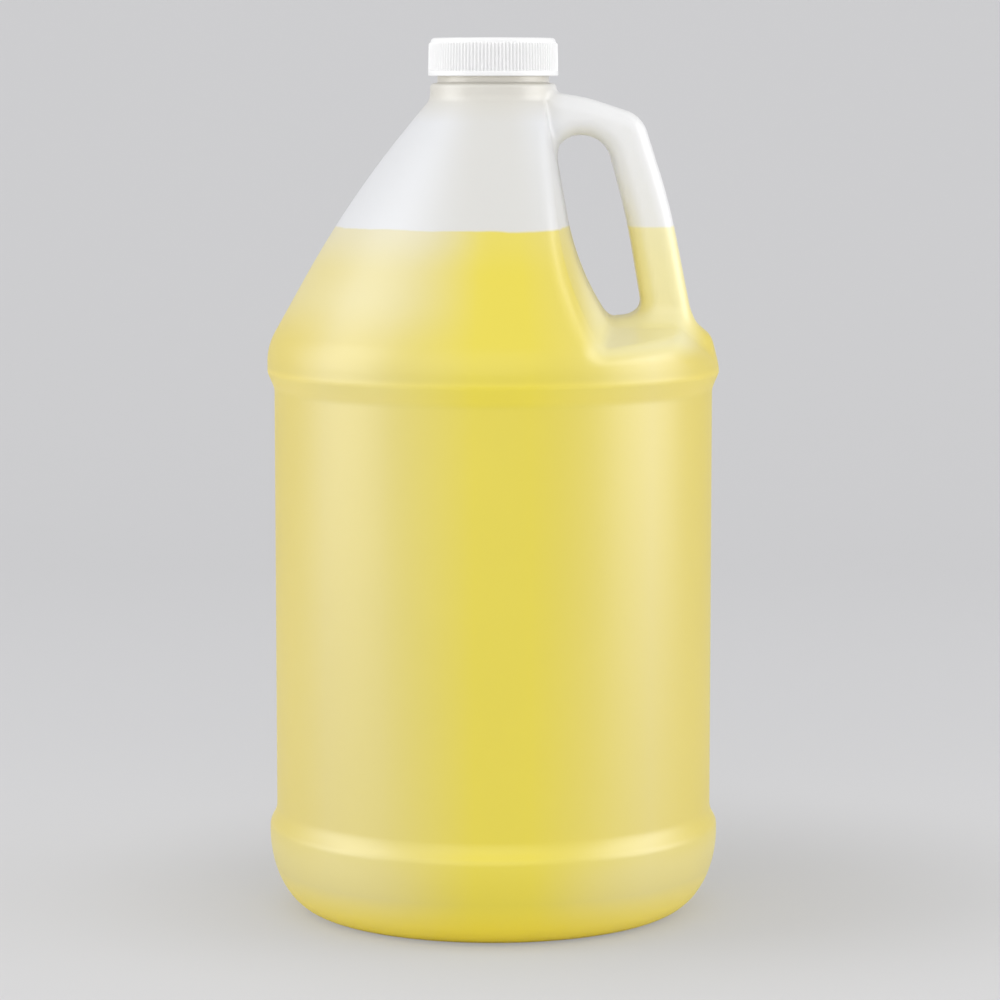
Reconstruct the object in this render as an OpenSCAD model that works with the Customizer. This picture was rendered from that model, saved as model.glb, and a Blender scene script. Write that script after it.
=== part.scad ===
// One-gallon dish soap jug: a round blow-moulded bottle with a hollow side handle,
// a screw cap with its liner, and the soap inside. Millimetres, +Z up, origin on the
// jug's own axis at the plane it stands on. The handle lies along +X.

/* [Body] */
// Outside diameter of the label panel
panel_d = 149.4; // [135:0.1:165]
// How far the two beads stand out from the label panel
bead_out = 2.35; // [1:0.05:4]
// Height at which the base bead starts to slope in to the label panel
base_h = 29.5; // [28:0.1:36]
// Height of the slope between a bead and the label panel
slope_h = 5.6; // [3:0.1:9]
// Height of the straight label panel
panel_h = 144.8; // [110:0.5:170]
// Height of the shoulder bead, up to the corner where the shoulder would meet it
shoulder_bead_h = 8.8; // [6:0.1:14]
// Rounding between the shoulder bead and the shoulder
shoulder_round = 20.2; // [8:0.1:24]
// Wall thickness of the bottle and its hollow handle
wall = 1; // [0.7:0.05:1.6]

/* [Base] */
// Diameter out to which the standing ring is flat
foot_d = 118; // [100:0.5:126]
// Width of the flat standing ring
foot_w = 7; // [4:0.5:12]
// Height of the curved heel between the standing ring and the base bead
heel_h = 27.5; // [18:0.1:27.5]
// How far the middle of the base is pushed up
push_up = 4; // [2:0.1:8]
// Diameter of the flat middle of the push-up
push_up_d = 60; // [40:1:76]

/* [Shoulder] */
// Height of the shoulder, from the bead's corner to the foot of the collar
shoulder_h = 83.5; // [76:0.5:96]
// Radius at which the two tangents of the curved shoulder cross
crown_r = 48.5; // [46:0.1:51]
// Height over the bead's corner at which those tangents cross
crown_h = 50.9; // [48:0.1:54]
// Radius of the shoulder's long curve
crown_round = 350; // [150:1:352]

/* [Neck] */
// Diameter of the collar under the cap
collar_d = 42.8; // [42:0.1:48]
// Height of the collar
collar_h = 5.4; // [4:0.1:9]
// Rounding of the collar's edges
collar_round = 1.5; // [0.5:0.1:2]
// Diameter of the neck between its threads
neck_d = 37.8; // [36:0.1:39]
// Diameter of the mouth
mouth_d = 33.2; // [28:0.1:34]
// Height of the neck from the collar to the sealing land
neck_h = 12.7; // [12:0.1:16]

/* [Thread] */
// Rise of the single-start thread in one turn
thread_lead = 4.233; // [4:0.001:4.4]
// How far the neck's thread stands out from the neck
thread_out = 1.15; // [0.9:0.05:1.2]
// Width of the neck's thread at its root
thread_w = 2.6; // [2.2:0.1:2.7]
// Turns that the neck's thread makes
neck_turns = 1.25; // [1:0.05:1.3]
// Turns that the cap's thread makes
cap_turns = 1.2; // [1:0.05:1.2]
// Height of the start of the neck's thread over the collar
thread_start = 4.6; // [4.4:0.1:5.5]

/* [Cap] */
// Diameter of the plain band at the cap's lower edge
cap_d = 44.1; // [43.6:0.1:50]
// How much the ribbed side draws in towards the top
cap_taper = 0.25; // [0.1:0.05:0.4]
// How far a rib stands out
rib_out = 0.45; // [0.3:0.05:0.6]
// Number of ribs
rib_count = 112; // [80:1:130]
// Height of the plain band under the ribs
cap_band_h = 1.7; // [1:0.1:3]
// Height of the plain rim over the ribs
cap_rim_h = 1.7; // [1:0.1:3]
// Gap between the collar and the cap's lower edge
cap_gap = 2.4; // [1:0.1:3]
// Thickness of the cap's top
cap_top_t = 1.5; // [1:0.1:2.5]
// Clearance between the neck's thread and the inside of the cap
cap_clear = 0.35; // [0.3:0.05:0.5]
// Clearance between the cap's thread and the neck
crest_clear = 0.35; // [0.3:0.05:0.5]
// Width of the cap's thread at its root
cap_thread_w = 2.2; // [1.8:0.1:2.3]
// Rounding of the cap's top edge
cap_round = 1.4; // [0.5:0.1:2]
// Thickness of the liner between the cap and the sealing land
liner_t = 1; // [0.6:0.1:1.5]
// Clearance around the liner inside the cap
liner_clear = 0.3; // [0.2:0.05:0.6]

/* [Handle] */
// Width of the handle from front to back
handle_w = 24; // [20:0.5:28]
// Rounding of the handle's long edges
handle_round = 5.5; // [3:0.5:6]
// How far the handle's upper corner stands out from the collar
knuckle_out = 28.86; // [26:0.1:32]
// Height of the handle's upper corner under the foot of the collar
knuckle_drop = 5.5; // [4.5:0.1:8]
// Rounding of the handle's upper corner
knuckle_round = 11; // [8:0.1:13]
// How far the handle's foot stays inside the bead
foot_in = 9; // [8:0.1:12]
// How far the grip's bend stays inside the bead
bend_in = 17.25; // [15:0.1:19]
// Height of the grip's bend over the bead's corner
bend_h = 48.2; // [44:0.1:52]
// Thickness of the grip at its bend
grip_t = 14.2; // [12:0.1:15]
// Thickness of the bridge from the collar to the grip
bridge_t = 12.9; // [11.5:0.1:14]
// Rounding of the finger hole's corners
hole_round = 8.4; // [5:0.1:9]

/* [Pocket] */
// Height of the pocket's floor over the bead's corner
floor_h = 8; // [6:0.1:11]
// How far the pocket's wall meets the floor inside the bead
wall_in = 36.7; // [33:0.1:38]
// How far the bend of the pocket's wall stands inside the bead
wall_bend_in = 48.7; // [47:0.1:51]
// Height of that bend over the bead's corner
wall_bend_h = 26.1; // [24:0.1:32]
// How far the top of the pocket's wall lies inside the collar
wall_top_in = 3.3; // [2:0.1:4]
// Mould draft of the pocket's wall, in degrees
draft = 4.6; // [2:0.1:6]
// Fall of the pocket's floor towards front and back, in degrees
floor_fall = 5; // [2:0.1:6]

/* [Soap] */
// Height of the soap over the shoulder bead's corner
fill_h = 40.9; // [20:0.1:55]
// Thin gap between the soap and the bottle's wall
soap_gap = 0.15; // [0.1:0.05:0.3]

/* [Hidden] */
$fn = 160;

panel_r = panel_d / 2;
bead_r = panel_r + bead_out;
foot_r = foot_d / 2;
collar_r = collar_d / 2;
neck_r = neck_d / 2;
mouth_r = mouth_d / 2;

panel_z = base_h + slope_h;
panel_top_z = panel_z + panel_h;
corner_z = panel_top_z + slope_h + shoulder_bead_h;
collar_z = corner_z + shoulder_h;
collar_top_z = collar_z + collar_h;
land_z = collar_top_z + neck_h;
floor_z = corner_z + floor_h;
fill_z = corner_z + fill_h;

cap_z = collar_top_z + cap_gap;
cap_roof_z = land_z + liner_t;
cap_top_z = cap_roof_z + cap_top_t;
cap_r = cap_d / 2;
rib_root_r = cap_r - rib_out;
cap_rim_z = cap_top_z - cap_rim_h;
cap_bore_r = neck_r + thread_out + cap_clear;
cap_crest_r = neck_r + crest_clear;
liner_r = cap_bore_r - liner_clear;

// Turns of the cap's thread that lie before the start of the neck's thread
cap_thread_lag = -0.35;
// How much closer the cap's thread sits to the underside of the neck's thread
thread_seat = 0.25;
// Share of a thread's root width that its crest keeps
crest_share = 0.42;
// How deep each thread is rooted in its wall
thread_root = 0.3;
// Steps in one turn of a thread
thread_steps = 40;
// Turns over which a thread's end fades out
thread_fade = 0.08;

// How deep a rib is rooted in the cap's side
rib_depth = 0.3;
// How far the ribs' lower ends lie inside the plain band
rib_seat = 0.05;

slope_round = 6;
arc_steps = 6;
heel_step = 7.5;
// How far one cutting solid runs past the surface it cuts
past = 1;

// Direction from one point of an outline to the next
function way(a, b) = let (d = [b.x - a.x, b.y - a.y]) d / norm(d);
// Left normal of a direction
function left(d) = [-d.y, d.x];
// Signed angle turned from one direction to another
function turn(d, e) = atan2(d.x * e.y - d.y * e.x, d * e);

// Outline [x, y, rounding] moved to its left by inset, with its roundings kept concentric
function moved(p, inset) = [
    for (k = [0:len(p) - 1])
        let (
            d = way(p[max(k, 1) - 1], p[max(k, 1)]),
            e = way(p[min(k, len(p) - 2)], p[min(k, len(p) - 2) + 1]),
            n = (left(d) + left(e)) / (1 + d * e),
            r = p[k].z == 0 ? 0 : max(0.1, p[k].z - inset * sign(turn(d, e)))
        )
        [p[k].x + inset * n.x, p[k].y + inset * n.y, r]
];

// Points of one rounded corner
function arc(a, p, b) =
    let (
        d = way(a, p),
        w = turn(d, way(p, b)),
        side = sign(w),
        start = [p.x, p.y] - d * p.z * abs(tan(w / 2)),
        centre = start + left(d) * side * p.z,
        first = atan2(start.y - centre.y, start.x - centre.x)
    )
    [for (j = [0:arc_steps]) centre + p.z * [cos(first + w * j / arc_steps), sin(first + w * j / arc_steps)]];

// How far a corner's rounding reaches along each of its two sides
function reach(p, k) = p[k].z == 0 ? 0 : p[k].z * abs(tan(turn(way(p[k - 1], p[k]), way(p[k], p[k + 1])) / 2));
// Length of the side from point k to the next
function span(p, k) = norm([p[k + 1].x - p[k].x, p[k + 1].y - p[k].y]);
// A corner's point, its rounding limited so that it leaves its neighbours their room
function limited(p, k) =
    let (
        room = 0.999 * min(
            span(p, k - 1) / (reach(p, k - 1) + reach(p, k)),
            span(p, k) / (reach(p, k) + reach(p, k + 1))
        )
    )
    [p[k].x, p[k].y, p[k].z * min(1, room)];

// Points of an outline [x, y, rounding] with its corners rounded
function rounded(p) = [
    for (k = [0:len(p) - 1])
        each p[k].z == 0 ? [[p[k].x, p[k].y]] : arc(p[k - 1], limited(p, k), p[k + 1])
];

// Underside of the jug from its axis to the edge of the standing ring
underside = [
    [0, push_up, 0],
    [push_up_d / 2, push_up, 30],
    [foot_r - foot_w, 0, 3],
    [foot_r, 0, 0]
];

// Side of the jug from the top of the heel to the collar
side = [
    [bead_r, heel_h, 0],
    [bead_r, base_h, slope_round / 2],
    [panel_r, panel_z, slope_round],
    [panel_r, panel_top_z, slope_round],
    [bead_r, panel_top_z + slope_h, slope_round / 2],
    [bead_r, corner_z, shoulder_round],
    [crown_r, corner_z + crown_h, crown_round],
    [collar_r, collar_z, 3 * collar_round]
];

// Elliptical heel, without its two end points
function heel(inset) = [
    for (a = [heel_step:heel_step:90 - heel_step])
        [foot_r + (bead_r - inset - foot_r) * sin(a), heel_h - (heel_h - inset) * cos(a)]
];

// Half section of the bottle's outside, up to the top of its collar
function outside() = concat(
    rounded(underside),
    heel(0),
    rounded(concat(side, [[collar_r, collar_top_z, collar_round], [0, collar_top_z, 0]]))
);

// Half section of the room inside the bottle, its sides lying inset inside the outside
function inside(inset) = concat(
    rounded(moved(underside, inset)),
    heel(inset),
    rounded(concat(
        moved(concat(side, [[collar_r, collar_z + wall, 0]]), inset),
        [[mouth_r, collar_top_z - wall, 0], [0, collar_top_z - wall, 0]]
    ))
);

// Outer edge of the handle, from inside the collar over the grip down into the bead
handle_back = [
    [collar_r - 15.4, collar_z + 4.9, 0],
    [collar_r + 10.6, collar_z + 0.5, 40],
    [collar_r + knuckle_out, collar_z - knuckle_drop, knuckle_round],
    [bead_r - bend_in, corner_z + bend_h, 220],
    [bead_r - foot_in, floor_z - 1.2, 6.6],
    [bead_r - 1, corner_z + 0.4, 2],
    [bead_r - 5, corner_z - 14, 0]
];

// Finger side of the handle, along the same stations
handle_front = [
    [collar_r - 9.4, collar_z - bridge_t - 26.2, 0],
    [collar_r + 2.5, collar_z - bridge_t + 1.2, hole_round],
    [collar_r + knuckle_out - 12.2, collar_z - bridge_t + 0.3, hole_round + 2],
    [bead_r - bend_in - grip_t, corner_z + bend_h - 5.3, 220],
    [bead_r - foot_in - 16.5, floor_z + 0.1, hole_round],
    [bead_r - foot_in - 25.6, floor_z + 0.1, 0.5],
    [bead_r - foot_in - 24, corner_z - 12, 0]
];

// One rounded section of the handle between an outer point o and a finger-side point f
function handle_section(o, f, w, r) =
    let (m = (o + f) / 2, u = (o - f) / norm(o - f), hx = norm(o - f) / 2 - r, hy = w / 2 - r)
    [
        for (q = [0:3], j = [0:3])
            let (
                a = 90 * q + 30 * j,
                x = hx * (q == 0 || q == 3 ? 1 : -1) + r * cos(a),
                y = hy * (q < 2 ? 1 : -1) + r * sin(a)
            )
            [m.x + u.x * x, y, m.y + u.y * x]
    ];

// A closed skin over a row of sections that all have as many points
module skin(sections) {
    n = len(sections[0]);
    last = len(sections) - 1;
    polyhedron(
        points = [for (s = sections) each s],
        faces = concat(
            [[for (j = [n - 1:-1:0]) j]],
            [[for (j = [0:n - 1]) last * n + j]],
            [
                for (i = [0:last - 1], j = [0:n - 1], t = [0, 1])
                    let (a = i * n + j, b = i * n + (j + 1) % n)
                    t == 0 ? [a, b, a + n] : [b, b + n, a + n]
            ]
        )
    );
}

// The handle as one solid, its skin moved in by inset
module handle(inset) {
    back = rounded(moved(handle_back, -inset));
    front = rounded(moved(handle_front, inset));
    skin([
        for (k = [0:len(back) - 1])
            handle_section(back[k], front[k], handle_w - 2 * inset, handle_round - inset)
    ]);
}

// Outline of the pocket beside the handle, seen along Y, moved out by inset
function pocket_outline(inset) = concat(
    rounded(moved([
        [collar_r - wall_top_in, collar_z, 0],
        [bead_r - wall_bend_in, corner_z + wall_bend_h, 90],
        [bead_r - wall_in, floor_z, 4.2],
        [bead_r - foot_in - 4, floor_z, 5],
        [bead_r + 4, corner_z - 6, 0]
    ], -inset)),
    [[bead_r + 20, corner_z - 6], [bead_r + 20, collar_z + inset], [collar_r, collar_z + inset]]
);

// One half of the pocket: the outline drawn out to the front or back along the mould's draft
module pocket_half(dir, inset) {
    start = 14;
    translate([0, 0, floor_z])
    rotate([-dir * floor_fall, 0, dir * draft])
    translate([0, -dir * start, -floor_z])
    rotate([90, 0, dir > 0 ? 180 : 0])
    mirror([dir > 0 ? 1 : 0, 0, 0])
    linear_extrude(bead_r + start + 10)
    polygon(pocket_outline(inset));
}

// Revolved bottle with the pocket taken out of its shoulder, and the hollow handle put back
module bottle(section, inset) {
    difference() {
        rotate(180) rotate_extrude() polygon(section);
        for (dir = [-1, 1]) pocket_half(dir, inset);
    }
    handle(inset);
}

// A helical ridge: root and crest radii, widths there, height of its start, first turn, turns
module thread(root, crest, root_w, crest_w, z, first, turns) {
    steps = ceil(turns * thread_steps);
    skin([
        for (k = [0:steps])
            let (
                t = turns * k / steps,
                a = 360 * (first + t),
                fade = min(1, t / thread_fade, (turns - t) / thread_fade),
                r1 = root + (crest - root) * max(fade, 0.05),
                w0 = root_w / 2 * (0.4 + 0.6 * fade),
                w1 = crest_w / 2 * (0.4 + 0.6 * fade),
                h = z + thread_lead * t,
                c = crest > root ? 1 : -1
            )
            [
                for (p = [[root - c * thread_root, -c * w0], [r1, -c * w1], [r1, c * w1], [root - c * thread_root, c * w0]])
                    [p.x * cos(a), p.x * sin(a), h + p.y]
            ]
    ]);
}

// Natural blow-moulded bottle with its hollow handle, collar and threaded neck
module jug_body() {
    color([0.93, 0.93, 0.9, 0.75])
    difference() {
        union() {
            bottle(outside(), 0);
            translate([0, 0, collar_top_z - past]) cylinder(r = neck_r, h = neck_h + past);
            thread(neck_r, neck_r + thread_out, thread_w, thread_w * crest_share,
                   collar_top_z + thread_start, 0, neck_turns);
        }
        bottle(inside(wall), wall);
        translate([0, 0, collar_top_z - wall - past]) cylinder(r = mouth_r, h = neck_h + wall + 2 * past);
    }
}

// The soap, from the bottom of the jug to the fill line, in the handle too
module soap_fill() {
    color([0.93, 0.86, 0.45])
    intersection() {
        bottle(inside(wall + soap_gap), wall + soap_gap);
        translate([-bead_r, -bead_r, 0]) cube([2 * bead_r, 2 * bead_r, fill_z]);
    }
}

// Star of the cap's ribs, seen along the axis, from inside the cap's side to past their tips
function rib_outline() = [
    for (k = [0:rib_count - 1], p = [[-0.4, 0], [-0.2, 1], [0.2, 1], [0.4, 0]])
        let (
            a = 360 * (k + 0.5 + p.x) / rib_count,
            r = p.y == 0 ? rib_root_r - cap_taper - rib_depth : cap_r + rib_depth
        )
        r * [cos(a), sin(a)]
];

// Half section of the room that the ribs fill, sloping in to the cap's side at their upper ends
function rib_section() = [
    [0, cap_z + cap_band_h / 2],
    [cap_r - rib_seat, cap_z + cap_band_h / 2],
    [cap_r - cap_taper, cap_rim_z - rib_out],
    [rib_root_r - cap_taper - rib_depth, cap_rim_z + rib_depth],
    [0, cap_rim_z + rib_depth]
];

// Half section of the cap without its ribs, still filled
function cap_section() = rounded([
    [0, cap_z, 0],
    [cap_r, cap_z, 0],
    [cap_r, cap_z + cap_band_h, 0],
    [rib_root_r, cap_z + cap_band_h, 0],
    [rib_root_r - cap_taper, cap_top_z, cap_round],
    [0, cap_top_z, 0]
]);

// White ribbed screw cap with its inner thread
module cap() {
    color([0.97, 0.97, 0.96]) {
        difference() {
            union() {
                rotate(180 / rib_count) rotate_extrude() polygon(cap_section());
                intersection() {
                    translate([0, 0, cap_z]) linear_extrude(cap_top_z - cap_z) polygon(rib_outline());
                    rotate_extrude() polygon(rib_section());
                }
            }
            translate([0, 0, cap_z - past]) cylinder(r = cap_bore_r, h = cap_roof_z - cap_z + past);
        }
        thread(cap_bore_r, cap_crest_r, cap_thread_w, cap_thread_w * crest_share,
               collar_top_z + thread_start - thread_lead * (0.5 + cap_thread_lag) + thread_seat,
               -cap_thread_lag, cap_turns);
    }
}

// Foam liner held in the cap's roof, seated on the neck's sealing land
module cap_liner() {
    color([0.9, 0.9, 0.88])
    translate([0, 0, land_z]) cylinder(r = liner_r, h = liner_t);
}

jug_body();
soap_fill();
cap();
cap_liner();
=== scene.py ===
import bpy
import math
import numpy as np
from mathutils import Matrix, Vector


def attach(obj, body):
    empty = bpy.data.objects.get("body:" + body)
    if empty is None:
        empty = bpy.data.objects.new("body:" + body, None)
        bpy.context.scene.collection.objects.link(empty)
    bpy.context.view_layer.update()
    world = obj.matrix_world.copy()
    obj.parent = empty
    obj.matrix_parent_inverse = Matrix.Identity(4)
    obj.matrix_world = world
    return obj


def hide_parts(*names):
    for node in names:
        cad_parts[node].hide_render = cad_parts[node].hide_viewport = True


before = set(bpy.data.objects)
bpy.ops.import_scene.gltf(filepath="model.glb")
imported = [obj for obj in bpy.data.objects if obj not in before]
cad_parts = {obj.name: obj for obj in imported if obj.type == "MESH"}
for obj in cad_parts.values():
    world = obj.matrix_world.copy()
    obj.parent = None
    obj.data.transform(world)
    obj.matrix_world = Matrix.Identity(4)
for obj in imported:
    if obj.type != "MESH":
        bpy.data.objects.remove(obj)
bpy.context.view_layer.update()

# Jug. The real one is a one-gallon bottle, blow moulded in one piece from natural HDPE: round,
# with a hollow side handle, two beads round its label panel and a threaded neck. Its skin is
# worked out here, in millimetres, from the outlines of the solids, with a blown wall's soft blends.
MM = 0.001
WALL = 1.0
BEAD_R, PANEL_R, COLLAR_R, NECK_R, MOUTH_R = 77.05, 74.7, 21.4, 18.9, 16.6
PANEL_Z, PANEL_TOP_Z, CORNER_Z, FLOOR_Z = 34.4, 179.9, 194.3, 202.3
COLLAR_Z, COLLAR_TOP_Z, LAND_Z = 277.8, 283.2, 295.9
FOOT_R, HEEL_H = 59.0, 27.5
SKIN_TOP_Z, ROOM_TOP_Z = 281.55, 281.0
DRAFT, FLOOR_FALL = math.radians(4.6), math.radians(5.0)
HANDLE_HALF_W, HANDLE_ROUND = 12.0, 5.5
RIM_SOFT = 1.5
BLEND_Z, RIM_BLEND = (206, 262, 275), (5.5, 4.0, 1.5)
JOIN_Z, JOIN_BLEND = (205, 250, 270), (8.0, 3.0, 2.0)


def heel_corners(count=6):
    """Corners of the elliptical heel, each where two of its tangents cross."""
    step = 90 / count
    found = []
    for k in range(count):
        a, h = math.radians(-90 + (k + 0.5) * step), math.radians(step / 2)
        found.append((FOOT_R + (BEAD_R - FOOT_R) * math.cos(a) / math.cos(h),
                      HEEL_H + HEEL_H * math.sin(a) / math.cos(h), 90))
    return found


# Corners (radius or x, z, rounding) of the bottle's half section, of the pocket and of the handle.
BOTTLE = [(0, 4, 0), (30, 4, 30), (52, 0, 3)] + heel_corners() + [
    (BEAD_R, 30.2, 7), (PANEL_R, PANEL_Z, 9), (PANEL_R, PANEL_TOP_Z, 6), (BEAD_R, 185.5, 3),
    (BEAD_R, CORNER_Z, 20.2), (48.5, 245.2, 350), (COLLAR_R, COLLAR_Z, 4.5),
    (COLLAR_R, COLLAR_TOP_Z, 1.5), (0, COLLAR_TOP_Z, 0)]
POCKET = [(18.1, COLLAR_Z, 0.5), (28.35, 220.4, 90), (40.35, FLOOR_Z, 4.2), (64.05, FLOOR_Z, 5),
          (81.05, 188.3, 1), (100, 188.3, 1), (100, COLLAR_Z, 1)]
HANDLE = [(12, 238.7, 1), (23.9, 266.1, 8.4), (38.06, 265.2, 10.4), (45.6, 237.2, 220),
          (51.55, 202.4, 8.4), (42.45, 202.4, 1), (44.05, 184, 1),
          (64, 184, 1), (73.5, 196.6, 2), (68.05, 201.1, 6.6), (59.8, 242.5, 220), (50.26, 272.3, 11),
          (32.0, 278.3, 40), (6.0, 282.7, 1)]


def outline_parts(corners, closed):
    """Straight parts (start, end) and round ones (centre, radius, middle way, half angle, side)."""
    pts = [np.array(c[:2], float) for c in corners]
    n = len(pts)
    sides = [pts[(k + 1) % n] - pts[k] for k in range(n)]
    spans = [np.linalg.norm(side) for side in sides]
    ways = [side / span for side, span in zip(sides, spans)]
    turns, reach = [0.0] * n, [0.0] * n
    for k in range(n):
        if closed or 0 < k < n - 1:
            d, e = ways[k - 1], ways[k]
            turns[k] = math.atan2(d[0] * e[1] - d[1] * e[0], float(d @ e))
            reach[k] = corners[k][2] * abs(math.tan(turns[k] / 2))
    fits = []
    for k in range(n):
        room = 1.0
        for a, b in ((k - 1, k), (k, (k + 1) % n)):
            total = reach[a] + reach[b]
            if total > 0:
                room = min(room, 0.9995 * spans[a] / total)
        fits.append(room)
    straight, bends = [], []
    for k in range(n if closed else n - 1):
        b = (k + 1) % n
        start = pts[k] + ways[k] * reach[k] * fits[k]
        end = pts[b] - ways[k] * reach[b] * fits[b]
        straight.append((start, end))
    for k in range(n):
        radius = corners[k][2] * fits[k]
        if reach[k] > 0:
            side = 1 if turns[k] > 0 else -1
            d, e = ways[k - 1], ways[k]
            start = pts[k] - d * reach[k] * fits[k]
            centre = start + side * radius * np.array([-d[1], d[0]])
            mid = pts[k] - centre
            bends.append((centre, radius, mid / np.linalg.norm(mid), abs(turns[k]) / 2, side))
    return straight, bends


def far(parts, x, z):
    """Signed distance to an outline in its plane, less than 0 on its left side."""
    best = np.full(np.shape(x), 1e9)
    near = np.full(np.shape(x), 1e9)
    for (a, b) in parts[0]:
        d = b - a
        length = math.hypot(*d)
        d = d / length
        px, pz = x - a[0], z - a[1]
        t = np.clip(px * d[0] + pz * d[1], 0, length)
        gap = np.hypot(px - t * d[0], pz - t * d[1])
        side = d[0] * pz - d[1] * px
        closer = gap < near
        near = np.where(closer, gap, near)
        best = np.where(closer, np.where(side > 0, -gap, gap), best)
    for (c, radius, mid, half, side) in parts[1]:
        px, pz = x - c[0], z - c[1]
        rho = np.hypot(px, pz) + 1e-12
        gap = rho - radius
        inside = (px * mid[0] + pz * mid[1] >= rho * math.cos(half)) & (np.abs(gap) < near)
        near = np.where(inside, np.abs(gap), near)
        best = np.where(inside, side * gap, best)
    return best


bottle_parts = outline_parts(BOTTLE, False)
pocket_parts = outline_parts(POCKET, True)
handle_parts = outline_parts(HANDLE, True)


def soft_min(a, b, k):
    """The lesser of two fields, with the edge where they meet blended over a width k."""
    h = np.maximum(k - np.abs(a - b), 0) / k
    return np.minimum(a, b) - h * h * k / 4


def skin(x, y, z):
    """Signed distance in millimetres to the outside of the jug, up to the top of its collar."""
    bottle = far(bottle_parts, np.hypot(x, y), z)
    s = np.sqrt(y * y + RIM_SOFT ** 2) - RIM_SOFT
    x1 = x * math.cos(DRAFT) + s * math.sin(DRAFT)
    s1 = s * math.cos(DRAFT) - x * math.sin(DRAFT)
    z1 = FLOOR_Z + (z - FLOOR_Z) * math.cos(FLOOR_FALL) + s1 * math.sin(FLOOR_FALL)
    pocket = far(pocket_parts, x1, z1)
    body = -soft_min(-bottle, pocket, np.interp(z, BLEND_Z, RIM_BLEND))
    h = far(handle_parts, x, z) + HANDLE_ROUND
    w = np.abs(y) - (HANDLE_HALF_W - HANDLE_ROUND)
    corner = np.hypot(np.maximum(h, 0), np.maximum(w, 0))
    grip = np.minimum(np.maximum(h, w), 0) + corner - HANDLE_ROUND
    return soft_min(body, grip, np.interp(z, JOIN_Z, JOIN_BLEND))


def net(field, xs, ys, zs):
    """Points and quads of a net over the surface where the field is 0, on a grid of cells."""
    f = field(*np.meshgrid(xs, ys, zs, indexing="ij"))
    inside = f < 0
    cells = tuple(s - 1 for s in f.shape)
    total = np.zeros(cells + (3,))
    count = np.zeros(cells)
    grid = (xs, ys, zs)
    crossings = []
    for axis in range(3):
        lo = [slice(None)] * 3
        hi = [slice(None)] * 3
        lo[axis], hi[axis] = slice(0, -1), slice(1, None)
        lo, hi = tuple(lo), tuple(hi)
        where = np.argwhere(inside[lo] != inside[hi])
        i, j, k = where.T
        a = f[i, j, k]
        step = np.zeros((1, 3), int)
        step[0, axis] = 1
        b = f[tuple((where + step).T)]
        t = a / (a - b)
        p = np.stack([g[where[:, m]] for m, g in enumerate(grid)], 1).astype(float)
        g = grid[axis]
        p[:, axis] += t * (g[where[:, axis] + 1] - g[where[:, axis]])
        crossings.append((axis, where, p, a < 0))
        others = [m for m in range(3) if m != axis]
        for da in (0, -1):
            for db in (0, -1):
                c = where.copy()
                c[:, others[0]] += da
                c[:, others[1]] += db
                ok = np.all((c >= 0) & (c < np.array(cells)), 1)
                np.add.at(total, tuple(c[ok].T), p[ok])
                np.add.at(count, tuple(c[ok].T), 1)
    used = count > 0
    number = np.full(cells, -1)
    number[used] = np.arange(used.sum())
    points = total[used] / count[used][:, None]
    quads = []
    for axis, where, p, out in crossings:
        u, v = (axis + 1) % 3, (axis + 2) % 3
        around = []
        for du, dv in ((-1, -1), (0, -1), (0, 0), (-1, 0)):
            c = where.copy()
            c[:, u] += du
            c[:, v] += dv
            around.append(c)
        ok = np.all([np.all((c >= 0) & (c < np.array(cells)), 1) for c in around], 0)
        ids = np.stack([number[tuple(c[ok].T)] for c in around], 1)
        quads.append(np.where(out[ok][:, None], ids, ids[:, ::-1]))
    return points, np.concatenate(quads)


def gradient(field, p, h=0.05):
    """A field's gradient at points, from its values a little to each side of them."""
    return np.stack([field(*(p + d).T) - field(*(p - d).T) for d in np.eye(3) * h], 1) / (2 * h)


def slope_of(field, p):
    """The way in which a field grows at points: the outward normal of its surface."""
    g = gradient(field, p)
    return g / np.maximum(np.linalg.norm(g, axis=1, keepdims=True), 1e-9)


def settle(field, p, rounds=4):
    """Points moved along the field's slope onto the surface where it is 0."""
    for _ in range(rounds):
        g = gradient(field, p)
        p = p - (field(*p.T) / np.maximum((g * g).sum(1), 0.2))[:, None] * g
    return p


def by_angle(ids, points):
    """The numbers of points, in order of their angle round the axis."""
    return ids[np.argsort(np.arctan2(points[ids, 1], points[ids, 0]))]


def loop_at_top(points, quads):
    """The numbers of the points round a net's open top, in order of their angle."""
    edges = np.concatenate([quads[:, [a, (a + 1) % 4]] for a in range(4)])
    edges = np.sort(edges, 1)
    found, times = np.unique(edges, axis=0, return_counts=True)
    return by_angle(np.unique(found[times == 1]), points)


def zip_loops(points, low, high):
    """Triangles between two rings of points round the axis, the lower ring first."""
    a = np.arctan2(points[low, 1], points[low, 0])
    b = np.arctan2(points[high, 1], points[high, 0])
    i = j = 0
    n, m = len(low), len(high)
    faces = []
    start = int(np.argmin(np.abs(b - a[0])))
    b = np.concatenate([b[start:], b[:start] + 2 * math.pi])
    high = np.concatenate([high[start:], high[:start]])
    a, b = np.append(a, a[0] + 2 * math.pi), np.append(b, b[0] + 2 * math.pi)
    while i < n or j < m:
        if j >= m or (i < n and a[i + 1] <= b[j + 1]):
            faces.append((low[i], low[(i + 1) % n], high[j % m]))
            i += 1
        else:
            faces.append((low[i % n], high[(j + 1) % m], high[j]))
            j += 1
    return faces


# Neck finish: a single-start right-hand thread on a plain neck.
THREAD_Z, THREAD_LEAD, THREAD_OUT, THREAD_W, NECK_TURNS = 287.8, 4.233, 1.15, 2.6, 1.25
THREAD_FADE, FLANK = 0.08, 0.5
NECK_COLUMNS = 192


def bend(c, radius, first, last, steps):
    """Points on an arc of a section, from one angle in degrees to another."""
    return [(c[0] + radius * math.cos(math.radians(a)), c[1] + radius * math.sin(math.radians(a)))
            for a in np.linspace(first, last, steps + 1)]


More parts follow.
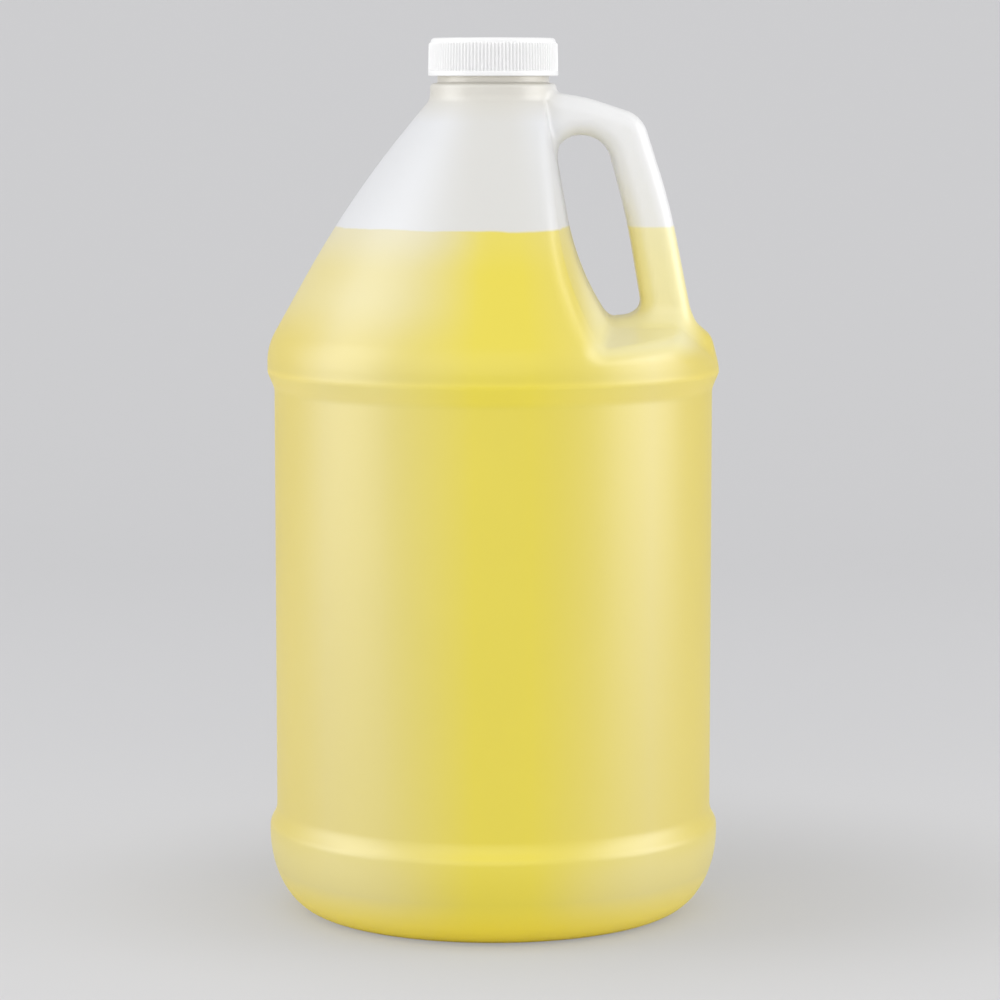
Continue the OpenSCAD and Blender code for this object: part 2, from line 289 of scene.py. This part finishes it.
def thread_height(z, turn, start, lead, width, height, turns):
    """How far a helical thread stands out at a height and a place round the axis, in turns."""
    out = np.zeros(np.broadcast(z, turn).shape)
    for k in (-1, 0, 1, 2):
        t = turn + k
        fade = np.clip(np.minimum(t, turns - t) / THREAD_FADE, 0, 1)
        h = np.abs(z - start - lead * t) / (width / 2)
        flank = np.clip((1 - h) / FLANK, 0, 1)
        out = np.maximum(out, height * fade * flank * flank * (3 - 2 * flank))
    return out


# Rows of the neck, (radius, height): over the collar's edge, up the neck, over the mouth and down
# the bore into the room under the collar.
neck_rows = np.array(
    [(21.4, 281.7)] + bend((19.9, 281.7), 1.5, 12, 90, 6) + [(19.6, 283.2)]
    + bend((19.6, 283.9), 0.7, -105, -180, 4)
    + [(NECK_R, z) for z in np.arange(284.2, 295.2, 0.3)] + bend((18.4, 295.4), 0.5, 5, 90, 4)
    + [(17.6, LAND_Z)] + bend((17.0, 295.5), 0.4, 90, 180, 4)
    + [(MOUTH_R, z) for z in (294, 291, 288, 285, 283.4)]
    + bend((17.4, 283.0), 0.8, 185, 270, 4) + [(18.5, 282.2)]
    + bend((19.2, 281.0), 1.2, 90, 8, 5))


def neck_points():
    """Points of the neck's rows round the axis, with the thread on its outer rows."""
    turn = np.arange(NECK_COLUMNS) / NECK_COLUMNS
    r = neck_rows[:, :1] + np.zeros((1, NECK_COLUMNS))
    z = neck_rows[:, 1:] + np.zeros((1, NECK_COLUMNS))
    outer = np.arange(len(neck_rows)) < int(np.argmax(neck_rows[:, 1]))
    r = r + outer[:, None] * thread_height(z, turn[None, :], THREAD_Z, THREAD_LEAD, THREAD_W,
                                           THREAD_OUT, NECK_TURNS)
    a = 2 * math.pi * turn[None, :] + 0 * z
    return np.stack([r * np.cos(a), r * np.sin(a), z], 2).reshape(-1, 3)


def rings(rows, columns, first=0):
    """Quads between rows of points round the axis, each row further along than the last."""
    i, j = np.meshgrid(np.arange(rows - 1), np.arange(columns), indexing="ij")
    a, b = i * columns + j, i * columns + (j + 1) % columns
    return first + np.stack([a, b, b + columns, a + columns], 2).reshape(-1, 4)


def room(inset):
    """The field of the room inside the jug, inset from its outside."""
    return lambda x, y, z: skin(x, y, z) + inset


# Grid lines in millimetres: fine at the beads, the heel and the shoulder, coarse along the panel.
SIDE_CELLS = np.arange(-78.0, 78.1, 1.5)
ROWS = np.concatenate([np.arange(-0.8, 27, 1.5), np.arange(27.2, 38, 0.9), np.arange(38.6, 176, 8.0),
                       np.arange(177.0, 189, 0.9), np.arange(189.4, 281.2, 1.4), [281.45, SKIN_TOP_Z]])
ROOM_CELLS = np.arange(-77.5, 78, 2.8)
ROOM_LOW_ROWS = np.concatenate([np.arange(0.2, 40, 2.7), np.arange(41.6, 176, 12.0),
                                np.arange(177.0, 190, 2.6)])
ROOM_ROWS = np.concatenate([ROOM_LOW_ROWS, np.arange(191, 280.3, 2.6), [280.85, ROOM_TOP_Z]])


def surface(field, cells, rows, rim_r=None):
    """A net over a field, settled on it, with its open top brought to a true circle."""
    points, quads = net(field, cells, cells, rows)
    points = settle(field, points)
    slope = slope_of(field, points)
    if rim_r is None:
        return points, quads, slope, None
    rim = loop_at_top(points, quads)
    ring = points[rim]
    ring[:, :2] *= rim_r / np.hypot(ring[:, 0], ring[:, 1])[:, None]
    ring[:, 2] = rows[-1]
    points[rim] = ring
    slope[rim] = np.stack([ring[:, 0], ring[:, 1], 0 * ring[:, 0]], 1) / rim_r
    return points, quads, slope, rim


def piece(name, points, faces, normals=None):
    """A smooth mesh object from points in millimetres; a point's normal is set where it is known."""
    mesh = bpy.data.meshes.new(name)
    mesh.from_pydata((np.asarray(points) * MM).tolist(), [], [tuple(int(v) for v in f) for f in faces])
    mesh.shade_smooth()
    if normals is not None:
        own = np.zeros(len(mesh.vertices) * 3)
        mesh.vertices.foreach_get("normal", own)
        own = own.reshape(-1, 3)
        known = np.linalg.norm(normals, axis=1) > 0.5
        own[known] = normals[known]
        mesh.normals_split_custom_set_from_vertices(own.tolist())
    obj = bpy.data.objects.new(name, mesh)
    bpy.context.scene.collection.objects.link(obj)
    return obj


outer, outer_quads, outer_slope, outer_rim = surface(skin, SIDE_CELLS, ROWS, COLLAR_R)
inner, inner_quads, inner_slope, inner_rim = surface(room(WALL), ROOM_CELLS, ROOM_ROWS, COLLAR_R - WALL)
neck = neck_points()
neck_first, inner_first = len(outer), len(outer) + len(neck)
jug_points = np.concatenate([outer, neck, inner])
first_ring = by_angle(neck_first + np.arange(NECK_COLUMNS), jug_points)
last_ring = by_angle(inner_first - NECK_COLUMNS + np.arange(NECK_COLUMNS), jug_points)
inner_joint = zip_loops(jug_points, inner_rim + inner_first, last_ring)
jug_faces = (outer_quads.tolist() + rings(len(neck_rows), NECK_COLUMNS, neck_first).tolist()
             + (inner_quads[:, ::-1] + inner_first).tolist()
             + zip_loops(jug_points, outer_rim, first_ring) + [(a, c, b) for a, b, c in inner_joint])
jug_normals = np.concatenate([outer_slope, np.zeros((len(neck), 3)), -inner_slope])
jug = piece("jug_shell", jug_points, jug_faces, jug_normals)


def linear(hex_colour):
    """An sRGB hex colour as linear red, green, blue and alpha."""
    parts = [int(hex_colour[k:k + 2], 16) / 255 for k in (1, 3, 5)]
    return [c / 12.92 if c <= 0.04045 else ((c + 0.055) / 1.055) ** 2.4 for c in parts] + [1]


def add(material, kind, links=None, **settings):
    """Adds one node with its settings, and its inputs as values or as links from other nodes."""
    new = material.node_tree.nodes.new("ShaderNode" + kind)
    for name, value in settings.items():
        setattr(new, name, value)
    for socket, value in (links or {}).items():
        if isinstance(value, bpy.types.NodeSocket):
            material.node_tree.links.new(value, new.inputs[socket])
        else:
            new.inputs[socket].default_value = value
    return new


def start(name):
    """A new node material: the material, its shader and its place on the object."""
    material = bpy.data.materials.new(name)
    material.use_nodes = True
    shader = material.node_tree.nodes["Principled BSDF"]
    place = add(material, "TexCoord").outputs["Object"]
    return material, shader, place


# Natural HDPE, blow moulded: milky and satin, with no colour of its own. Its colour by place stands
# for what lies behind it: white where the jug is empty and yellow where soap wets it. Light and shade
# are painted into it too, each marked below: sheen that is paler towards the sides and on the left of
# the shoulder, a paler hollow handle, a lighter crease under the upper bead, a darker collar, a paler
# neck and a bright yellow sole. Polyethylene's IOR of 1.54 and the soft skin of a blown wall,
# roughness 0.36, blur the lamps to broad, faint streaks.
hdpe, shader, place = start("natural_hdpe")
axes = add(hdpe, "SeparateXYZ", {0: place})

# Ramps along the jug in metres: axis, start and end, value at each, and how it eases between.
RAMPS = {
    "radius": ("Z", 0.195, 0.278, 0.077, 0.0214, "LINEAR"),
    "pocket_x": ("Z", 0.200, 0.278, 0.029, 0.0165, "LINEAR"),
    "over_bead": ("Z", 0.191, 0.199, 0, 1, "SMOOTHSTEP"),
    "off_edge": ("X", 0.074, 0.062, 0, 1, "SMOOTHSTEP"),
    # Painted shade: the dry wall is painted darker and warmer from just under the collar up.
    "collar": ("Z", 0.270, 0.279, 0, 1, "LINEAR"),
    # Painted light: the neck above the collar is painted paler, lifting the shade under the cap.
    "neck": ("Z", 0.2835, 0.285, 0, 1, "LINEAR"),
    "shoulder": ("Z", 0.196, 0.214, 0, 0.55, "SMOOTHSTEP"),
    "heel": ("Z", 0.036, 0.022, 0, 0.6, "SMOOTHSTEP"),
    # Painted light: the sole is painted a deep, bright yellow, for lamp light that passes down through
    # the soap.
    "sole": ("Z", 0.016, 0.001, 0, 1, "LINEAR"),
    "crease_foot": ("Z", 0.1785, 0.1815, 0, 0.13, "SMOOTHSTEP"),
    "crease_top": ("Z", 0.1882, 0.1852, 0, 1, "SMOOTHSTEP")}
ramp = {}
for name, (axis, first, last, low, high, ease) in RAMPS.items():
    ramp[name] = add(hdpe, "MapRange", {"Value": axes.outputs[axis], "From Min": first, "From Max": last,
                                        "To Min": low, "To Max": high},
                     interpolation_type=ease).outputs["Result"]

# How far round the jug a place is, from 0 at its left parting line to 1 at its right one.
part = add(hdpe, "Math", {0: axes.outputs["X"], 1: ramp["radius"]}, operation="DIVIDE").outputs[0]
across = add(hdpe, "MapRange", {"Value": part, "From Min": -1.0, "From Max": 1.0}).outputs["Result"]
from_middle = add(hdpe, "Math", {0: part}, operation="ABSOLUTE").outputs[0]
# Painted sheen: the wall is painted paler towards its left and right sides, where the side lamps' streaks
# fall.
painted_side_sheen = add(hdpe, "MapRange", {"Value": from_middle, "From Min": 0.15, "From Max": 0.70},
            interpolation_type="SMOOTHSTEP").outputs["Result"]
# Painted sheen: the left of the shoulder is painted milkier, where the lamps on the left are reflected.
painted_left_shoulder_sheen = add(hdpe, "MapRange", {"Value": across, "From Min": 0.50, "From Max": 0.20},
            interpolation_type="SMOOTHSTEP").outputs["Result"]
painted_left_shoulder_sheen = add(hdpe, "Math", {0: painted_left_shoulder_sheen, 1: ramp["shoulder"]}, operation="MULTIPLY").outputs[0]
# Painted sheen: the heel and lower bead are painted paler towards the sides, where the lamps' streaks
# run.
heel = add(hdpe, "Math", {0: ramp["heel"], 1: painted_side_sheen}, operation="MULTIPLY").outputs[0]

# The handle and its pocket, beyond the pocket's slanting edge and above the bead, are painted paler:
# painted light, for light that crosses the hollow handle and keeps its recesses bright.
beyond = add(hdpe, "Math", {0: axes.outputs["X"], 1: ramp["pocket_x"]}, operation="SUBTRACT").outputs[0]
grip = add(hdpe, "MapRange", {"Value": beyond, "From Min": -0.001, "From Max": 0.008},
           interpolation_type="SMOOTHSTEP").outputs["Result"]
for limit in (ramp["over_bead"], ramp["off_edge"]):
    grip = add(hdpe, "Math", {0: grip, 1: limit}, operation="MULTIPLY").outputs[0]

# The wet wall's colour and the dry wall's, each in layers. Across the wet wall the yellow is deepest in
# the middle and painted paler in bands to its left and right: painted sheen of the side lamps.
WET_STOPS = [(0.0, "#D8C450"), (0.14, "#D3C474"), (0.26, "#D6C76E"), (0.46, "#DFCE2B"),
             (0.58, "#DFCE2B"), (0.84, "#D5C56A"), (1.0, "#D6C240")]
wet = add(hdpe, "ValToRGB", {"Fac": across})
while len(wet.color_ramp.elements) < len(WET_STOPS):
    wet.color_ramp.elements.new(0.5)
for stop, (where, tint) in zip(wet.color_ramp.elements, WET_STOPS):
    stop.position, stop.color = where, linear(tint)
wet = wet.outputs["Color"]
for amount, tint in ((painted_left_shoulder_sheen, "#DCD3A4"), (heel, "#DCD08A"), (ramp["sole"], "#FBE318"), (grip, "#EBE2A6")):
    wet = add(hdpe, "Mix", {"Factor": amount, 6: wet, 7: linear(tint)}, data_type="RGBA").outputs[2]
dry = linear("#D2D1CD")
for amount, tint in ((painted_side_sheen, "#D8D9DB"), (ramp["collar"], "#CFCCC3"), (ramp["neck"], "#EAE5D8"),
                     (grip, "#E5E5E5")):
    dry = add(hdpe, "Mix", {"Factor": amount, 6: dry, 7: linear(tint)}, data_type="RGBA").outputs[2]

# The fill line wavers by up to 0.9 mm in waves of about 17 mm, and the soap just under it is paler
# on the left, where the lamp shines down through it.
drift = add(hdpe, "TexNoise", {"Vector": place, "Scale": 60.0, "Detail": 3.0})
waver = add(hdpe, "MapRange", {"Value": drift.outputs["Fac"], "To Min": -0.0009, "To Max": 0.0009})
level = add(hdpe, "Math", {0: axes.outputs["Z"], 1: waver.outputs["Result"]}, operation="ADD").outputs[0]
fade = add(hdpe, "MapRange", {"Value": level, "From Min": 0.2200, "From Max": 0.2350, "To Max": 0.32},
           interpolation_type="SMOOTHSTEP").outputs["Result"]
left = add(hdpe, "MapRange", {"Value": across, "From Min": 0.52, "From Max": 0.28, "To Min": 0.2},
           interpolation_type="SMOOTHSTEP").outputs["Result"]
line = add(hdpe, "MapRange", {"Value": level, "From Min": 0.2346, "From Max": 0.2358},
           interpolation_type="SMOOTHSTEP").outputs["Result"]
above = add(hdpe, "Math", {0: fade, 1: left, 2: line}, operation="MULTIPLY_ADD").outputs[0]
body = add(hdpe, "Mix", {"Factor": above, 6: wet, 7: dry}, data_type="RGBA")

# The milkiness drifts by 3% in patches of about 70 mm. The crease under the upper bead is painted
# lighter: painted light, for light that spreads inside the wall. The ripples of the blown skin are
# about 2.4 mm long.
tone = add(hdpe, "TexNoise", {"Vector": place, "Scale": 14.0, "Detail": 3.0})
shade = add(hdpe, "MapRange", {"Value": tone.outputs["Fac"], "To Min": 0.97, "To Max": 1.03})
tone_and_crease_light = add(hdpe, "Math", {0: ramp["crease_foot"], 1: ramp["crease_top"], 2: shade.outputs["Result"]},
           operation="MULTIPLY_ADD")
tinted = add(hdpe, "Mix", {"Factor": 1.0, 6: body.outputs[2], 7: tone_and_crease_light.outputs[0]},
             data_type="RGBA", blend_type="MULTIPLY")
grain = add(hdpe, "TexNoise", {"Vector": place, "Scale": 420.0, "Detail": 3.0})
bump = add(hdpe, "Bump", {"Height": grain.outputs["Fac"], "Strength": 0.12, "Distance": 0.0002})
hdpe.node_tree.links.new(tinted.outputs[2], shader.inputs["Base Color"])
hdpe.node_tree.links.new(bump.outputs["Normal"], shader.inputs["Normal"])
shader.inputs["IOR"].default_value = 1.54
shader.inputs["Specular IOR Level"].default_value = 1.0
shader.inputs["Roughness"].default_value = 0.36
jug.data.materials.append(hdpe)
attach(jug, "jug")
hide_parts("jug_body")


# Soap. Plain yellow dish soap fills the jug and its hollow handle up to the shoulder, behind the
# milky wall. A thick, glossy liquid: IOR 1.36 and roughness 0.08, with a faint cloud in it.
SOAP_GAP, FILL_Z = 0.15, 235.2
SOAP_ROWS = np.concatenate([ROOM_LOW_ROWS, np.arange(191, 234, 2.4), [234.6, 235.0, 235.4]])


def brim(x, y, z):
    """The field of the soap: the jug's room, less the gap at its wall, up to the fill line."""
    return np.maximum(room(WALL + SOAP_GAP)(x, y, z), z - FILL_Z)


soap_points, soap_quads, soap_slope, _ = surface(brim, ROOM_CELLS, SOAP_ROWS)
soap = piece("soap", soap_points, soap_quads.tolist(), soap_slope)
liquid, shader, place = start("yellow_dish_soap")
cloud = add(liquid, "TexNoise", {"Vector": place, "Scale": 20.0, "Detail": 2.0})
mix = add(liquid, "Mix", {"Factor": cloud.outputs["Fac"], 6: linear("#E7D34E"), 7: linear("#EAD95E")},
          data_type="RGBA")
liquid.node_tree.links.new(mix.outputs[2], shader.inputs["Base Color"])
shader.inputs["IOR"].default_value = 1.36
shader.inputs["Roughness"].default_value = 0.08
soap.data.materials.append(liquid)
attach(soap, "jug")
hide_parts("soap_fill")


# Liner. A foam disc, punched from sheet of foamed polyethylene, that lies in the cap's roof and
# seals the mouth. Matt, with cells of about 0.4 mm.
foam, shader, place = start("foamed_pe")
cells = add(foam, "TexVoronoi", {"Vector": place, "Scale": 2500.0})
dimple = add(foam, "Bump", {"Height": cells.outputs["Distance"], "Strength": 0.4, "Distance": 0.0001})
face = add(foam, "Mix", {"Factor": cells.outputs["Distance"], 6: linear("#E4E4DF"), 7: linear("#EFEFEB")},
           data_type="RGBA")
foam.node_tree.links.new(face.outputs[2], shader.inputs["Base Color"])
foam.node_tree.links.new(dimple.outputs["Normal"], shader.inputs["Normal"])
shader.inputs["Roughness"].default_value = 0.7
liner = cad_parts["cap_liner"]
liner.data.materials.clear()
liner.data.materials.append(foam)


# Cap. A white screw cap, injection moulded in PP, with fine ribs for grip between a plain band
# at its lower edge and a plain rim at its top, and one thread inside.
CAP_Z, CAP_TOP_Z, CAP_ROOF_Z, CAP_R, BORE_R = 285.6, 298.4, 296.9, 22.05, 20.4
RIB_COUNT, RIB_OUT, CAP_TAPER, ACROSS_RIB = 112, 0.6, 0.25, 8
RIB_FOOT, RIB_FLANK = 0.30, 0.30
CAP_COLUMNS = RIB_COUNT * ACROSS_RIB
RIM_Z, BAND_TOP_Z, RIM_ROUND = 296.7, 287.3, 1.4
CAP_THREAD_Z, CAP_THREAD_START, CAP_TURNS, CAP_THREAD_OUT, CAP_THREAD_W = 287.415, 0.35, 1.2, 1.15, 2.2


def cap_side(z):
    """Radius of the cap's side between its ribs."""
    return CAP_R - RIB_OUT - CAP_TAPER * (z - BAND_TOP_Z) / (CAP_TOP_Z - BAND_TOP_Z)


# Rows of the cap, (radius between the ribs, how far its ribs stand out, height): out under its
# roof, down its bore, round its lower edge, up its ribs and over its rim.
side_z = np.linspace(BAND_TOP_Z + 0.35, RIM_Z - 0.5, 8)
cap_rows = [(0.0, 0, CAP_ROOF_Z), (12, 0, CAP_ROOF_Z), (19.6, 0, CAP_ROOF_Z)]
cap_rows += [(r, 0, z) for r, z in bend((19.9, 296.4), 0.5, 88, 2, 4)]
bore_first = len(cap_rows)
cap_rows += [(BORE_R, 0, z) for z in np.arange(295.4, 286.0, -0.32)]
bore_last = len(cap_rows)
cap_rows += [(20.45, 0, 285.8), (20.65, 0, CAP_Z), (21.2, 0, CAP_Z)]
cap_rows += [(r, 0, z) for r, z in bend((21.7, 285.95), 0.35, -90, 0, 4)]
cap_rows += [(CAP_R, 0, 286.6), (CAP_R, 0, 287.1), (CAP_R - 0.04, 0, 287.24),
             (CAP_R - 0.14, 0.12, BAND_TOP_Z + 0.02),
             (cap_side(287.4) + 0.08, 0.48, BAND_TOP_Z + 0.1), (cap_side(287.5), 0.58, BAND_TOP_Z + 0.22)]
cap_rows += [(cap_side(z), RIB_OUT, z) for z in side_z]
cap_rows += [(cap_side(RIM_Z - 0.3), 0.54, RIM_Z - 0.3), (cap_side(RIM_Z - 0.1), 0.34, RIM_Z - 0.1),
             (cap_side(RIM_Z + 0.1), 0.06, RIM_Z + 0.1), (cap_side(RIM_Z + 0.25), 0, RIM_Z + 0.25)]
cap_rows += [(r, 0, z) for r, z in bend((cap_side(298) - RIM_ROUND, 297.0), RIM_ROUND, 4, 90, 8)]
cap_rows += [(18.8, 0, CAP_TOP_Z), (16, 0, CAP_TOP_Z), (8, 0, CAP_TOP_Z), (0.0, 0, CAP_TOP_Z)]
cap_rows = np.array(cap_rows)

turn = np.arange(CAP_COLUMNS) / CAP_COLUMNS
off_rib = np.abs((turn * RIB_COUNT) % 1 - 0.5) * 2
rib = np.clip((off_rib - RIB_FOOT) / RIB_FLANK, 0, 1)
rib = rib * rib * (3 - 2 * rib)
r = cap_rows[:, :1] + cap_rows[:, 1:2] * rib[None, :]
z = cap_rows[:, 2:] + 0 * r
bore = (np.arange(len(cap_rows)) >= bore_first) & (np.arange(len(cap_rows)) < bore_last)
r = r - bore[:, None] * thread_height(z, turn[None, :] - CAP_THREAD_START, CAP_THREAD_Z, THREAD_LEAD,
                                      CAP_THREAD_W, CAP_THREAD_OUT, CAP_TURNS)
a = 2 * math.pi * turn[None, :] + 0 * z
grid = np.stack([r * np.cos(a), r * np.sin(a), z], 2)
cap_points = np.concatenate([[[0, 0, CAP_ROOF_Z]], grid[1:-1].reshape(-1, 3), [[0, 0, CAP_TOP_Z]]])
ids = np.arange(CAP_COLUMNS)
after = (ids + 1) % CAP_COLUMNS
cap_faces = [(0, int(1 + a), int(1 + b)) for a, b in zip(ids, after)]
cap_faces += rings(len(cap_rows) - 2, CAP_COLUMNS, 1)[:, ::-1].tolist()
tail = 1 + (len(cap_rows) - 3) * CAP_COLUMNS
cap_faces += [(len(cap_points) - 1, int(tail + b), int(tail + a)) for a, b in zip(ids, after)]
cap = piece("screw_cap", cap_points, [f[::-1] for f in cap_faces])

# Moulded PP: white all through, with the mould's even satin, IOR 1.49 and roughness 0.38. The
# satin's grain is drawn 0.7 mm coarse, since the real one is too fine to show.
white_pp, shader, place = start("moulded_pp")
flow = add(white_pp, "TexNoise", {"Vector": place, "Scale": 60.0, "Detail": 2.0})
whites = add(white_pp, "Mix", {"Factor": flow.outputs["Fac"], 6: linear("#ECECEC"), 7: linear("#F0F0F0")},
             data_type="RGBA")
fine = add(white_pp, "TexNoise", {"Vector": place, "Scale": 1500.0, "Detail": 2.0})
satin = add(white_pp, "Bump", {"Height": fine.outputs["Fac"], "Strength": 0.08, "Distance": 0.0001})
white_pp.node_tree.links.new(whites.outputs[2], shader.inputs["Base Color"])
white_pp.node_tree.links.new(satin.outputs["Normal"], shader.inputs["Normal"])
shader.inputs["IOR"].default_value = 1.49
shader.inputs["Roughness"].default_value = 0.38
cap.data.materials.append(white_pp)
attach(cap, "cap")
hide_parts("cap")


# Studio. A pale grey sweep of paper: a floor that curves up into a backdrop well behind the jug.
SWEEP_Y, SWEEP_R, SWEEP_HALF_W, SWEEP_TOP = 0.9, 1.2, 4.0, 4.0
curve = [math.radians(a) for a in range(5, 91, 5)]
sweep_rows = [(-3.0, 0.0), (SWEEP_Y, 0.0)]
sweep_rows += [(SWEEP_Y + SWEEP_R * math.sin(a), SWEEP_R - SWEEP_R * math.cos(a)) for a in curve]
sweep_rows += [(SWEEP_Y + SWEEP_R, SWEEP_TOP)]
sweep_mesh = bpy.data.meshes.new("sweep")
sweep_mesh.from_pydata([(x, y, z) for y, z in sweep_rows for x in (-SWEEP_HALF_W, SWEEP_HALF_W)], [],
                       [(2 * k, 2 * k + 1, 2 * k + 3, 2 * k + 2) for k in range(len(sweep_rows) - 1)])
sweep_mesh.shade_smooth()
sweep = bpy.data.objects.new("sweep", sweep_mesh)
bpy.context.scene.collection.objects.link(sweep)

# Matt paper. The camera sees it partly at a brightness of its own, strength 1 being white, which keeps
# the background plain; that part is painted light, a little brighter at the front than at the back. It
# dims round the foot of the jug in a painted shadow, where the jug's shadow falls.
paper, shader, place = start("grey_paper")
shader.inputs["Base Color"].default_value = linear("#D3D3D5")
shader.inputs["Roughness"].default_value = 0.8
shader.inputs["Specular IOR Level"].default_value = 0.2
floor_y = add(paper, "SeparateXYZ", {0: place}).outputs["Y"]
shine = add(paper, "MapRange", {"Value": floor_y, "From Min": -0.05, "From Max": 0.40,
                                "To Min": 0.675, "To Max": 0.622}, interpolation_type="SMOOTHSTEP")
away = add(paper, "VectorMath", {0: place, 1: (0.035, 0.030, 0.0)}, operation="DISTANCE")
dim = add(paper, "MapRange", {"Value": away.outputs["Value"], "From Min": 0.07, "From Max": 0.21,
                              "To Min": 0.80, "To Max": 1.0}, interpolation_type="SMOOTHSTEP")
shine = add(paper, "Math", {0: shine.outputs["Result"], 1: dim.outputs["Result"]}, operation="MULTIPLY")
even = add(paper, "Emission", {"Color": linear("#FDFDFF"), "Strength": shine.outputs[0]})
seen = add(paper, "LightPath").outputs["Is Camera Ray"]
share = add(paper, "Math", {0: seen, 1: 0.55}, operation="MULTIPLY")
both = add(paper, "MixShader", {0: share.outputs[0], 1: shader.outputs[0], 2: even.outputs[0]})
paper.node_tree.links.new(both.outputs[0], paper.node_tree.nodes["Material Output"].inputs["Surface"])
sweep.data.materials.append(paper)


def softbox(name, where, aim, width, tall, radiance):
    """A soft lamp of even brightness, aimed at a point."""
    lamp = bpy.data.lights.new(name, "AREA")
    lamp.shape, lamp.size, lamp.size_y = "RECTANGLE", width, tall
    lamp.energy = radiance * math.pi * width * tall
    obj = bpy.data.objects.new(name, lamp)
    away = Vector(where) - Vector(aim)
    obj.location = where
    obj.rotation_euler = away.to_track_quat("Z", "Y").to_euler()
    bpy.context.scene.collection.objects.link(obj)


def at(degrees, away, height):
    """A place round the jug: its angle from the camera's side, its distance and its height."""
    return away * math.sin(math.radians(degrees)), -away * math.cos(math.radians(degrees)), height


# Lamps: one large soft box in front, a tall one at each side with a dimmer one behind it, and one
# high on the left that lays a milky streak on the shoulder. An even white world fills the rest.
SIDE_AWAY, SIDE_Z, SIDE_TALL, SIDE_AIM = 1.15, 0.35, 1.3, (0, 0, 0.17)
softbox("front_softbox", at(-8, 2.0, 0.95), (0, 0, 0.15), 2.6, 2.0, 0.52)
softbox("left_high_softbox", at(-84, 1.10, 1.15), (0, 0, 0.20), 0.65, 0.9, 0.55)
side_lamps = (("left_softbox", -75, 0.65, 1.75), ("left_rear_softbox", -97, 0.45, 0.8),
              ("right_softbox", 75, 0.65, 1.85), ("right_rear_softbox", 95, 0.45, 1.5))
for name, degrees, width, radiance in side_lamps:
    softbox(name, at(degrees, SIDE_AWAY, SIDE_Z), SIDE_AIM, width, SIDE_TALL, radiance)
world = bpy.data.worlds.new("studio")
world.use_nodes = True
world.node_tree.nodes["Background"].inputs["Color"].default_value = (1, 1, 1, 1)
world.node_tree.nodes["Background"].inputs["Strength"].default_value = 0.86
bpy.context.scene.world = world
bpy.context.scene.view_settings.view_transform = "Standard"

# Camera: 1.28 m in front of the jug and level with its collar, looking down at its middle.
CAMERA_AT, LOOK_DOWN = (0.0023, -1.279, 0.28425), 6.3905
camera_data = bpy.data.cameras.new("camera")
camera_data.lens, camera_data.sensor_width = 135, 36
camera = bpy.data.objects.new("camera", camera_data)
camera.location = CAMERA_AT
camera.rotation_euler = (math.radians(90 - LOOK_DOWN), 0, 0)
bpy.context.scene.collection.objects.link(camera)
bpy.context.scene.camera = camera
